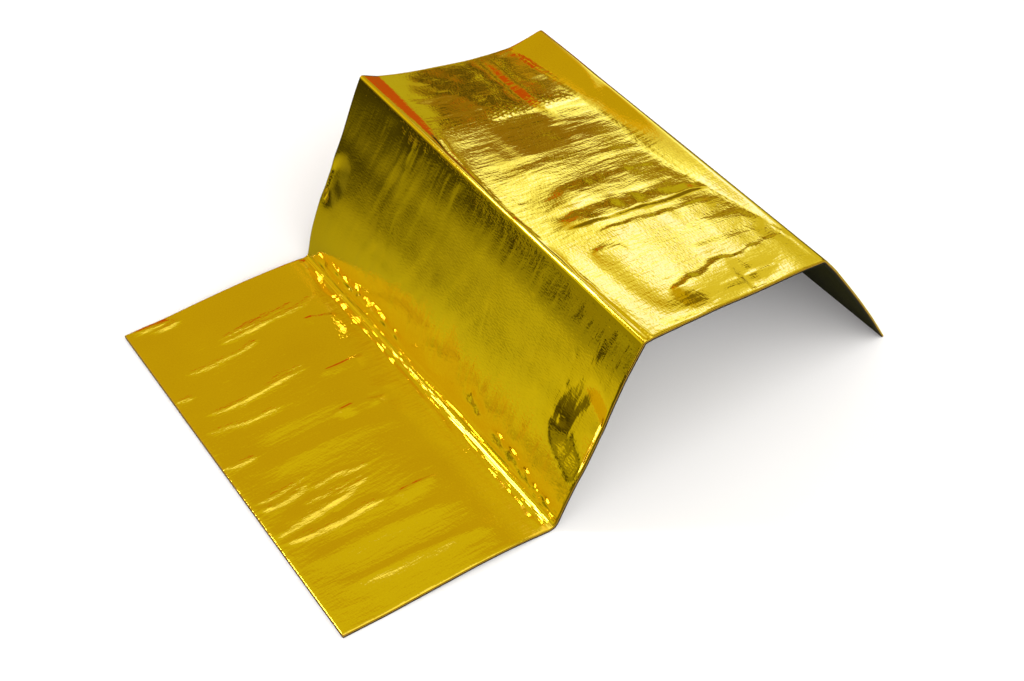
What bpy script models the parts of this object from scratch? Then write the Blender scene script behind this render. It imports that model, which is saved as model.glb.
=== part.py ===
"""Gold foil thermal blanket sheet, standing in three folds.

One rectangular piece of foil-faced cloth about 0.305 m wide and 0.59 m long. It is folded across its
length into four panels: the first lies flat, the second climbs to a ridge, the third is a shallow top
that dips a little, and the fourth comes steeply down so that its free edge stands on the surface.
Gold film on the face, black on the back, 3 mm thick.

Metres, +Z up. X runs across the folds, Y along them. The origin is under the middle of the sheet's box.
"""

import math

import bpy
import numpy as np

# ---- driving dimensions ----
MM = 0.001
THICK = 3.0 * MM  # film and backing together
SHIFT_X = 221.94 * MM  # from the flat panel's near corner to the middle of the box
SHIFT_Y = 156.75 * MM

# The lines across the sheet where panels meet, on the gold face: one row a line, with its near end,
# its far end and the half width over which the fold is rounded. Millimetres, above the flat panel.
LINES = (
    # name          near_x  near_y  near_z  far_x  far_y  far_z  half
    ("flat_edge",     0.0,    0.0,    0.0,   0.0,  305.0,   0.0,   0.0),
    ("valley",      153.4,   -2.0,   -0.6, 146.8,  305.8,  -0.9,   4.5),
    ("front_ridge", 215.3,   -2.9,  133.6, 201.0,  306.2, 141.3,   3.6),
    ("back_ridge",  369.1,    8.1,  112.2, 355.3,  311.8, 113.9,   3.4),
    ("standing_edge", 443.9, 12.1,   -1.1, 429.7,  316.4,  -1.1,   0.0),
)

# How far each panel bows off the plane between its two lines, outwards, along its near and far edges.
# share is the place across the panel, from one line to the next. Millimetres.
FLAT_BOW = (
    # share  near  far
    (0.00,  0.0,  0.0),
    (0.20,  0.0,  0.0),
    (0.36,  1.2,  1.4),
    (0.50,  2.2,  2.3),
    (0.64,  3.1,  2.9),
    (0.78,  3.1,  2.6),
    (0.90,  1.9,  2.1),
    (1.00,  0.0,  0.3),
)
CLIMB_BOW = (
    # share  near  far
    (0.00,  0.0,  0.3),
    (0.07,  0.8,  3.3),
    (0.15,  0.9,  4.9),
    (0.28,  0.8,  4.6),
    (0.42,  0.6,  4.2),
    (0.55,  0.5,  2.8),
    (0.68,  1.3,  1.3),
    (0.80,  1.9,  1.1),
    (0.93,  1.2,  1.6),
    (1.00,  0.0,  0.0),
)
# The top lifts a little along its near edge.
TOP_NEAR = (
    # share  near
    (0.00,   0.0),
    (0.06,   1.0),
    (0.20,   1.6),
    (0.40,   1.9),
    (0.55,   1.1),
    (0.70,   1.3),
    (0.88,   1.2),
    (1.00,   0.0),
)
# It sags at the far edge. The sag dies out towards the near edge, by SAG_FADE.
TOP_SAG = (
    # share  far
    (0.00,   0.0),
    (0.09,  -3.2),
    (0.13,  -4.7),
    (0.19,  -6.5),
    (0.26,  -7.8),
    (0.33,  -8.6),
    (0.46,  -9.8),
    (0.59, -10.8),
    (0.73, -10.2),
    (0.80,  -9.4),
    (0.83,  -8.9),
    (0.90,  -5.8),
    (0.96,  -2.3),
    (1.00,   0.0),
)
SAG_FADE = (
    # along  part
    (0.00, 0.00),
    (0.10, 0.03),
    (0.20, 0.12),
    (0.30, 0.25),
    (0.45, 0.42),
    (0.60, 0.56),
    (0.80, 0.76),
    (1.00, 1.00),
)
STAND_BOW = (
    # share  near  far
    (0.00,  0.0,  0.0),
    (0.15,  1.3,  1.3),
    (0.35,  1.6,  1.7),
    (0.55,  1.7,  1.6),
    (0.76,  1.3,  1.1),
    (1.00,  0.0,  0.0),
)

# Second creases on the top, one beside each ridge: their place across the panel, by the place along it.
SECOND_CREASES = (
    # along  front  back
    (0.00, 0.046, 0.985),
    (0.12, 0.029, 0.970),
    (0.20, 0.026, 0.938),
    (0.26, 0.031, 0.921),
    (0.30, 0.028, 0.900),
    (0.36, 0.022, 0.868),
    (0.43, 0.018, 0.852),
    (0.50, 0.029, 0.843),
    (0.60, 0.041, 0.868),
    (0.68, 0.042, 0.866),
    (0.73, 0.065, 0.859),
    (0.80, 0.079, 0.846),
    (0.90, 0.090, 0.832),
    (1.00, 0.090, 0.828),
)
SECOND_AT = (0.09, 0.83)  # where TOP_SAG has them
SECOND_HALF = 1.6
EDGE_THIN = 1.2  # the standing edge is pressed thinner by this much
BACK_EXTRA = 2.4  # more rounding on the back, so that the inside of a bend stays open

# Soft folds that stand out of a panel (or sink, if the height is below zero): from one point to another,
# each as (across, along) shares of the panel. half and height in millimetres.
SOFT_FOLDS = (
    # panel      across0 along0 across1 along1 half height
    ("top",       0.10,  0.362,  0.50,  0.352,  7.0,  0.8),
    ("top",       0.50,  0.352,  0.92,  0.315,  7.0,  1.3),
    ("top",       0.47,  0.105,  0.93,  0.130,  6.0,  1.0),
    ("top",       0.15,  0.200,  0.17,  0.060,  7.0, -1.0),
    ("top",       0.20,  0.040,  0.80,  0.020,  6.0, -0.7),
    ("top",       0.30,  0.740,  0.80,  0.735,  8.0,  0.9),
    ("top",       0.05,  0.560,  0.75,  0.620,  8.0,  0.8),
    ("climb",     0.45,  0.930,  0.62,  0.990,  8.0, -1.8),
    ("climb",     0.36,  0.100,  0.60,  0.190,  8.0, -1.4),
    ("climb",     0.08,  0.300,  0.90,  0.360,  9.0,  0.8),
    ("climb",     0.10,  0.620,  0.85,  0.690,  9.0,  0.8),
)

# Sections: places across each panel (0 at its first line, 1 at its second), and how many along the folds.
FLAT_AT = (0.0, 0.10, 0.20, 0.28, 0.36, 0.46, 0.56, 0.64, 0.72, 0.80, 0.87, 0.92, 0.95, 0.97, 0.985)
CLIMB_AT = (0.0, 0.015, 0.03, 0.05, 0.08, 0.13, 0.20, 0.28, 0.36, 0.44, 0.52, 0.60, 0.68, 0.76, 0.84, 0.91, 0.955, 0.982, 0.992)
TOP_AT = (0.0, 0.009, 0.020, 0.055, 0.09, 0.13, 0.19, 0.26, 0.34, 0.42, 0.50, 0.58, 0.66, 0.73, 0.79, 0.83, 0.88, 0.93, 0.975, 0.99)
STAND_AT = (0.0, 0.01, 0.02, 0.06, 0.15, 0.25, 0.35, 0.45, 0.55, 0.65, 0.76, 0.88, 0.94, 1.0)
ROWS = 33

PANELS = ("flat", "climb", "top", "stand")
BASE_BLEND = 6.0  # the tables are rounded off over this half width, away from the folds


def column(table, i):
    return np.array([row[i] for row in table], float)


def read(table, at, i):
    """The table's column i at the places in its first column."""
    return np.interp(at, column(table, 0), column(table, i))


def line_points(i, along):
    """Points of line i of LINES, in millimetres, at the places along it."""
    _, nx, ny, nz, fx, fy, fz, _ = LINES[i]
    near, far = np.array((nx, ny, nz)), np.array((fx, fy, fz))
    return near + (far - near) * along[..., None]


def top_share(across, along):
    """The share at which TOP_SAG is read, so that its two creases follow SECOND_CREASES."""
    front, back = read(SECOND_CREASES, along, 1), read(SECOND_CREASES, along, 2)
    a, b = SECOND_AT
    middle = a + (across - front) / (back - front) * (b - a)
    end = b + (across - back) / (1.0 - back) * (1.0 - b)
    return np.where(across < front, across / front * a, np.where(across < back, middle, end))


def bow(panel, across, along):
    """How far the panel lies outside its own plane, in millimetres."""
    if panel == 2:
        off = read(TOP_SAG, top_share(across, along), 1) * read(SAG_FADE, along, 1)
        off = off + read(TOP_NEAR, across, 1) * (1 - along) ** 2
    else:
        table = (FLAT_BOW, CLIMB_BOW, None, STAND_BOW)[panel]
        off = read(table, across, 1) * (1 - along) + read(table, across, 2) * along
    return off


def soft(panel, across, along):
    """The soft folds' height at a place on the panel, in millimetres."""
    total = np.zeros_like(across)
    size = np.array((150.0, 305.0))
    for name, a0, l0, a1, l1, half, height in SOFT_FOLDS:
        if name != PANELS[panel]:
            continue
        p0, p1 = np.array((a0, l0)) * size, np.array((a1, l1)) * size
        d = p1 - p0
        x, y = across * size[0] - p0[0], along * size[1] - p0[1]
        t = np.clip((x * d[0] + y * d[1]) / (d @ d), 0.0, 1.0)
        gap = np.hypot(x - t * d[0], y - t * d[1])
        total += height * np.exp(-((gap / half) ** 2)) * (0.35 + 0.65 * np.sin(math.pi * t))
    # nothing stands out at the panel's own fold lines
    return total * np.clip(across / 0.06, 0, 1) * np.clip((1 - across) / 0.06, 0, 1)


def raw_face(q, along):
    """The gold face before its folds are rounded. q counts panels: 0 at the flat edge, 4 at the standing one."""
    q = np.clip(q, 0.0, 4.0)
    out = np.zeros(q.shape + (3,))
    for k in range(4):
        here = (q >= k) & ((q < k + 1) | (k == 3))
        if not here.any():
            continue
        s, v = q[here] - k, along[here]
        p0, p1 = line_points(k, v), line_points(k + 1, v)
        across = p1 - p0
        fold = line_points(k, np.ones_like(v)) - line_points(k, np.zeros_like(v))
        fold = fold + (line_points(k + 1, np.ones_like(v)) - line_points(k + 1, np.zeros_like(v)) - fold) * s[:, None]
        n = np.cross(across, fold)
        n /= np.linalg.norm(n, axis=1)[:, None]
        off = bow(k, s, v) + soft(k, s, v)
        out[here] = p0 + across * s[:, None] + n * off[:, None]
    return out


def half_width(q, along, extra):
    """Half the width over which the face is averaged at q, in panels: small at a fold, more between them."""
    h = np.full(q.shape, BASE_BLEND)
    for k in (1, 2, 3):
        h = np.minimum(h, np.hypot(LINES[k][7] + extra, 0.55 * (q - k) * 150.0))
    for i in (1, 2):
        crease = 2 + read(SECOND_CREASES, along, i)
        h = np.minimum(h, np.hypot(SECOND_HALF + extra, 0.55 * (q - crease) * 150.0))
    # a second crease that runs close to a ridge leaves the ridge's own round alone
    for k in (2, 3):
        h = np.maximum(h, LINES[k][7] + extra - 0.4 * np.abs(q - k) * 150.0)
    h = h / 150.0
    return np.minimum(h, np.minimum(q, 4.0 - q))


def face(q, along, extra=0.0):
    """The gold face with its folds rounded, in millimetres. extra rounds them over that much more."""
    h = half_width(q, along, extra)
    taps = (np.arange(24) + 0.5) / 12.0 - 1.0
    return sum(raw_face(q + t * h, along) for t in taps) / len(taps)


def across_places(along):
    """The sections' q at one place along the folds: those of the top move with its second creases."""
    front = max(np.interp(along, column(SECOND_CREASES, 0), column(SECOND_CREASES, 1)), 0.040)
    back = min(np.interp(along, column(SECOND_CREASES, 0), column(SECOND_CREASES, 2)), 0.945)
    a, b = SECOND_AT
    top = [np.interp(s, (0, 0.020, a, b, 0.975, 1), (0, 0.020, front, back, 0.975, 1)) for s in TOP_AT]
    return np.array(list(FLAT_AT) + [1 + s for s in CLIMB_AT] + [2 + s for s in top] + [3 + s for s in STAND_AT])


def sheet_points():
    """Grids of points on the face and on the back, rows along the folds, in metres."""
    along = np.linspace(0.0, 1.0, ROWS)
    q = np.array([across_places(v) for v in along])
    v = np.repeat(along[:, None], q.shape[1], axis=1)
    top = face(q, v)
    # the back lies a thickness inside the same face, rounded over more where it is the inside of a bend
    e = 0.002
    dq = face(np.clip(q + e, 0, 4), v, BACK_EXTRA) - face(np.clip(q - e, 0, 4), v, BACK_EXTRA)
    dv = face(q, np.clip(v + e, 0, 1), BACK_EXTRA) - face(q, np.clip(v - e, 0, 1), BACK_EXTRA)
    n = np.cross(dq, dv)
    n /= np.linalg.norm(n, axis=2)[:, :, None]
    thick = THICK / MM - EDGE_THIN * np.clip((q - 3.94) / 0.06, 0, 1)
    back = face(q, v, BACK_EXTRA) - n * thick[:, :, None]
    # the points inside a ridge are spread out, so that no two of them meet
    inside = (np.abs(q - 2) < 0.08) | (np.abs(q - 3) < 0.08)
    for _ in range(4):
        even = (back[:, :-2] + 2 * back[:, 1:-1] + back[:, 2:]) / 4
        back[:, 1:-1] = np.where(inside[:, 1:-1, None], even, back[:, 1:-1])
    top[..., 2] += THICK / MM
    back[..., 2] += THICK / MM
    # the flat strip and the standing edge touch the surface
    strip = q <= 0.2
    top[strip, 2], back[strip, 2] = THICK / MM, 0.0
    lift = back[:, -1, 2].copy()
    fall = np.clip((q - 3.5) / 0.5, 0, 1) ** 2
    top[..., 2] -= lift[:, None] * fall
    back[..., 2] -= lift[:, None] * fall
    shift = np.array((SHIFT_X, SHIFT_Y, 0.0))
    return top * MM - shift, back * MM - shift


def build_sheet():
    top, back = sheet_points()
    rows, cols = top.shape[:2]
    count = rows * cols
    points = np.concatenate([top.reshape(-1, 3), back.reshape(-1, 3)])
    faces = []
    for r in range(rows - 1):
        for c in range(cols - 1):
            i = r * cols + c
            a, b, d, e = i, i + 1, i + cols + 1, i + cols
            if (r + c) % 2:
                faces += [(a, b, d), (a, d, e), (a + count, d + count, b + count), (a + count, e + count, d + count)]
            else:
                faces += [(a, b, e), (b, d, e), (a + count, e + count, b + count), (b + count, e + count, d + count)]
    rim = [c for c in range(cols)]
    rim += [r * cols + cols - 1 for r in range(1, rows)]
    rim += [(rows - 1) * cols + c for c in range(cols - 2, -1, -1)]
    rim += [r * cols for r in range(rows - 2, 0, -1)]
    for i, j in zip(rim, rim[1:] + rim[:1]):
        faces += [(j, i, i + count), (j, i + count, j + count)]
    mesh = bpy.data.meshes.new("foil_sheet")
    mesh.from_pydata([tuple(p) for p in points], [], faces)
    mesh.validate()
    mesh.update()
    mesh.shade_smooth()
    mesh.set_sharp_from_angle(angle=math.radians(40))
    sheet = bpy.data.objects.new("foil_sheet", mesh)
    bpy.context.scene.collection.objects.link(sheet)
    return sheet


def gold_foil():
    material = bpy.data.materials.new("gold_foil")
    material.use_nodes = True
    shader = material.node_tree.nodes["Principled BSDF"]
    shader.inputs["Base Color"].default_value = (0.80, 0.52, 0.03, 1.0)
    shader.inputs["Metallic"].default_value = 1.0
    shader.inputs["Roughness"].default_value = 0.22
    return material


def main():
    for o in list(bpy.data.objects):
        bpy.data.objects.remove(o)
    sheet = build_sheet()
    sheet.data.materials.append(gold_foil())


main()
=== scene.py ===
"""Gold foil thermal blanket sheet, standing in three folds: its looks.

One fine closed mesh stands for the folded sheet: gold film on the face, with its creases and wrinkles, black
cloth on the back, and a rounded rim where the film turns over the cut edge.
"""

import math

import bpy
import numpy as np
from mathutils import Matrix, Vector


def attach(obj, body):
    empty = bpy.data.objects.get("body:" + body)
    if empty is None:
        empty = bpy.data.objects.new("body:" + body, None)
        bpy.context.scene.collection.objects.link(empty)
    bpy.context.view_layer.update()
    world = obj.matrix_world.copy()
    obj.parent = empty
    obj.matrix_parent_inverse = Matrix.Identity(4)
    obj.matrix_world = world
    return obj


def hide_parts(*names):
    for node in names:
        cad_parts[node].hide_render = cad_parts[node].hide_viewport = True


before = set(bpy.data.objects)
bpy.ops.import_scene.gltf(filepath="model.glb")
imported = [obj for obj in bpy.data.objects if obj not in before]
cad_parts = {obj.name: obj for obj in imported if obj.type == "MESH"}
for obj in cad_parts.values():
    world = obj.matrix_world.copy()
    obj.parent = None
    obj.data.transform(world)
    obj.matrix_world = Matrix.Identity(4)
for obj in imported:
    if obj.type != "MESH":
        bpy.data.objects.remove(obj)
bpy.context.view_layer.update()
scene = bpy.context.scene

MM = 0.001
THICK = 3.0  # millimetres, as all sizes in the tables below
WIDTH, PANEL = 305.0, 150.0
SHIFT = np.array((221.94, 156.75, 0.0))

# ---------------------------------------------------------------- the folded face
# Lines where the panels meet, on the gold face, above the flat panel.
LINES = (
    # name          near_x  near_y  near_z  far_x  far_y  far_z  half
    ("flat_edge",     0.0,    0.0,    0.0,   0.0,  305.0,   0.0,   0.0),
    ("valley",      153.4,   -2.0,   -0.6, 146.8,  305.8,  -0.9,   4.8),
    ("front_ridge", 215.3,   -2.9,  133.6, 201.0,  306.2, 141.3,   2.2),
    ("back_ridge",  369.1,    8.1,  112.2, 355.3,  311.8, 113.9,   2.4),
    ("standing_edge", 443.9, 12.1,   -1.1, 429.7,  316.4,  -1.1,   0.0),
)
FLAT_BOW = (
    # share  near  far
    (0.00,  0.0,  0.0),
    (0.20,  0.0,  0.0),
    (0.36,  1.2,  1.4),
    (0.50,  2.2,  2.3),
    (0.64,  3.1,  2.9),
    (0.78,  3.1,  2.6),
    (0.90,  1.9,  2.1),
    (1.00,  0.0,  0.3),
)
CLIMB_BOW = (
    (0.00,  0.0,  0.3),
    (0.07,  0.8,  2.3),
    (0.15,  0.9,  4.1),
    (0.28,  0.8,  4.6),
    (0.42,  0.6,  4.2),
    (0.55,  0.5,  2.8),
    (0.68,  1.3,  1.3),
    (0.80,  1.8,  1.2),
    (0.90,  1.0,  1.0),
    (1.00,  0.0,  0.0),
)
TOP_NEAR = (
    # share  near
    (0.00,   0.0),
    (0.06,   1.0),
    (0.20,   1.6),
    (0.40,   1.9),
    (0.55,   1.1),
    (0.70,   1.3),
    (0.88,   1.2),
    (1.00,   0.0),
)
TOP_SAG = (
    # share  far
    (0.00,   0.0),
    (0.09,  -4.3),
    (0.13,  -5.3),
    (0.19,  -6.6),
    (0.26,  -7.8),
    (0.33,  -8.6),
    (0.46,  -9.8),
    (0.59, -10.8),
    (0.73, -10.2),
    (0.80,  -9.4),
    (0.83,  -8.9),
    (0.90,  -5.8),
    (0.96,  -2.3),
    (1.00,   0.0),
)
TOP_SWELL = (
    # along  middle
    (0.000, 0.0),
    (0.100, 0.6),
    (0.220, 1.4),
    (0.325, 2.0),
    (0.360, 2.0),
    (0.420, 1.75),
    (0.600, 1.35),
    (0.750, 0.8),
    (1.000, 0.0),
)
SAG_FADE = (
    # along  part
    (0.00, 0.00),
    (0.10, 0.03),
    (0.20, 0.12),
    (0.30, 0.25),
    (0.45, 0.42),
    (0.60, 0.56),
    (0.80, 0.76),
    (1.00, 1.00),
)
STAND_BOW = (
    (0.00,  0.0,  0.0),
    (0.15,  1.3,  1.3),
    (0.35,  1.6,  1.7),
    (0.55,  1.7,  1.6),
    (0.76,  1.3,  1.1),
    (1.00,  0.0,  0.0),
)
SECOND_CREASES = (
    # along  front  back
    (0.00, 0.046, 0.985),
    (0.12, 0.029, 0.970),
    (0.20, 0.026, 0.938),
    (0.26, 0.031, 0.921),
    (0.30, 0.028, 0.900),
    (0.36, 0.022, 0.868),
    (0.43, 0.018, 0.852),
    (0.50, 0.029, 0.843),
    (0.60, 0.041, 0.868),
    (0.68, 0.042, 0.866),
    (0.73, 0.065, 0.859),
    (0.80, 0.079, 0.846),
    (0.90, 0.090, 0.832),
    (1.00, 0.090, 0.828),
)
SECOND_AT = (0.09, 0.83)
SECOND_HALF = 1.1
BASE_BLEND = 6.0


def column(table, i):
    return np.array([row[i] for row in table], float)


def read(table, at, i):
    return np.interp(at, column(table, 0), column(table, i))


def line_points(i, along):
    _, nx, ny, nz, fx, fy, fz, _ = LINES[i]
    near, far = np.array((nx, ny, nz)), np.array((fx, fy, fz))
    return near + (far - near) * along[..., None]


def top_share(across, along):
    front, back = read(SECOND_CREASES, along, 1), read(SECOND_CREASES, along, 2)
    a, b = SECOND_AT
    middle = a + (across - front) / (back - front) * (b - a)
    end = b + (across - back) / (1.0 - back) * (1.0 - b)
    return np.where(across < front, across / front * a, np.where(across < back, middle, end))


def bow(panel, across, along):
    if panel == 2:
        off = read(TOP_SAG, top_share(across, along), 1) * read(SAG_FADE, along, 1)
        side = np.clip(np.minimum(across - 0.02, 0.98 - across) / 0.34, 0, 1)
        off = off + read(TOP_SWELL, along, 1) * side * side * (3 - 2 * side)
        return off + read(TOP_NEAR, across, 1) * (1 - along) ** 2
    table = (FLAT_BOW, CLIMB_BOW, None, STAND_BOW)[panel]
    return read(table, across, 1) * (1 - along) + read(table, across, 2) * along


def raw_face(q, along):
    q = np.clip(q, 0.0, 4.0)
    out = np.zeros(q.shape + (3,))
    for k in range(4):
        here = (q >= k) & ((q < k + 1) | (k == 3))
        if not here.any():
            continue
        s, v = q[here] - k, along[here]
        p0, p1 = line_points(k, v), line_points(k + 1, v)
        across = p1 - p0
        fold = line_points(k, np.ones_like(v)) - line_points(k, np.zeros_like(v))
        fold = fold + (line_points(k + 1, np.ones_like(v)) - line_points(k + 1, np.zeros_like(v)) - fold) * s[:, None]
        n = np.cross(across, fold)
        n /= np.linalg.norm(n, axis=1)[:, None]
        out[here] = p0 + across * s[:, None] + n * bow(k, s, v)[:, None]
    return out


def half_width(q, along, extra):
    h = np.full(q.shape, BASE_BLEND)
    for k in (1, 2, 3):
        h = np.minimum(h, np.hypot(LINES[k][7] + extra, 0.55 * (q - k) * PANEL))
    for i in (1, 2):
        crease = 2 + read(SECOND_CREASES, along, i)
        h = np.minimum(h, np.hypot(SECOND_HALF + extra, 0.55 * (q - crease) * PANEL))
    for k in (2, 3):
        h = np.maximum(h, LINES[k][7] + extra - 0.4 * np.abs(q - k) * PANEL)
    h = h / PANEL
    return np.minimum(h, np.minimum(q, 4.0 - q))


def face(q, along, extra=0.0):
    """The gold face without its creases, with the folds rounded, in millimetres."""
    h = half_width(q, along, extra)
    taps = (np.arange(20) + 0.5) / 10.0 - 1.0
    return sum(raw_face(q + t * h, along) for t in taps) / len(taps)


# ---------------------------------------------------------------- creases and wrinkles
def noise(x, y, seed):
    """Smooth noise from -1 to 1, one cell a unit."""
    table = np.random.default_rng(seed).random((128, 128)) * 2 - 1
    xi, yi = np.floor(x).astype(int), np.floor(y).astype(int)
    fx, fy = x - xi, y - yi
    fx, fy = fx * fx * fx * (fx * (fx * 6 - 15) + 10), fy * fy * fy * (fy * (fy * 6 - 15) + 10)
    a, b = table[yi % 128, xi % 128], table[yi % 128, (xi + 1) % 128]
    c, d = table[(yi + 1) % 128, xi % 128], table[(yi + 1) % 128, (xi + 1) % 128]
    return (a * (1 - fx) + b * fx) * (1 - fy) + (c * (1 - fx) + d * fx) * fy


def crease(X, Y, points, half, height, profile, jag, seed):
    """A crease's height over the sheet. points are (panel place q, along) pairs; half and height in millimetres.

    soft is a round ridge, sharp a narrow crest, lip a ridge that is steep on its near side only, dash a lip
    that falls off more slowly, blocks a lip cut into short pieces, and facet a flat rise that starts at the line.
    """
    p = np.array(points, float) * (PANEL, WIDTH)
    reach = (12 if profile == "dash" else 6) * half + 3 * jag
    lo, hi = p.min(0) - reach, p.max(0) + reach
    out = np.zeros_like(X)
    here = (X > lo[0]) & (X < hi[0]) & (Y > lo[1]) & (Y < hi[1])
    if not here.any():
        return out
    x, y = X[here], Y[here]
    lengths = np.linalg.norm(np.diff(p, axis=0), axis=1)
    total, run = lengths.sum(), 0.0
    best, side, where = np.full(x.shape, 1e9), np.zeros(x.shape), np.zeros(x.shape)
    for a, b, length in zip(p[:-1], p[1:], lengths):
        d = (b - a) / length
        t = np.clip((x - a[0]) * d[0] + (y - a[1]) * d[1], 0, length)
        ox, oy = x - a[0] - t * d[0], y - a[1] - t * d[1]
        gap = np.hypot(ox, oy)
        near = gap < best
        best = np.where(near, gap, best)
        side = np.where(near, np.sign(d[0] * oy - d[1] * ox), side)
        where = np.where(near, run + t, where)
        run += length
    d = best * side + jag * noise(where / 7.0, where * 0 + seed * 3.7, seed)
    t = where / total
    fade = np.clip(np.minimum(t, 1 - t) / 0.16, 0, 1)
    fade = fade * fade * (3 - 2 * fade)
    swell = 1 + min(0.55, 1.6 / half) * noise(where / max(6.5, 3.2 * half), where * 0 + seed * 1.3, seed + 50)
    if profile in ("lip", "dash"):
        half = half * (0.45 + 0.65 * np.sin(math.pi * np.clip(t, 0, 1))) * (1 + 0.35 * noise(where / 9, where * 0 + seed, seed + 90))
    if profile == "soft":
        f = np.exp(-((d / half) ** 2))
    elif profile == "sharp":
        f = np.exp(-np.sqrt(d * d + (0.35 * half) ** 2) / half)
    elif profile in ("lip", "dash"):
        f = np.exp(-((np.where(d < 0, d / half, d / ((6 if profile == "dash" else 3.5) * half))) ** 2))
    elif profile == "blocks":
        f = np.exp(-((np.where(d < 0, d / half, d / (3.5 * half))) ** 2))
        f = f * np.clip(0.45 + 1.3 * np.sin((where + 0.8 * d) * (2 * math.pi / 5.4)), 0, 1.2)
    else:
        f = np.clip(d / half, 0, 1) * np.exp(-(np.maximum(d / half - 1, 0) / 2.4) ** 2)
    out[here] = height * f * fade * swell
    return out


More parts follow.
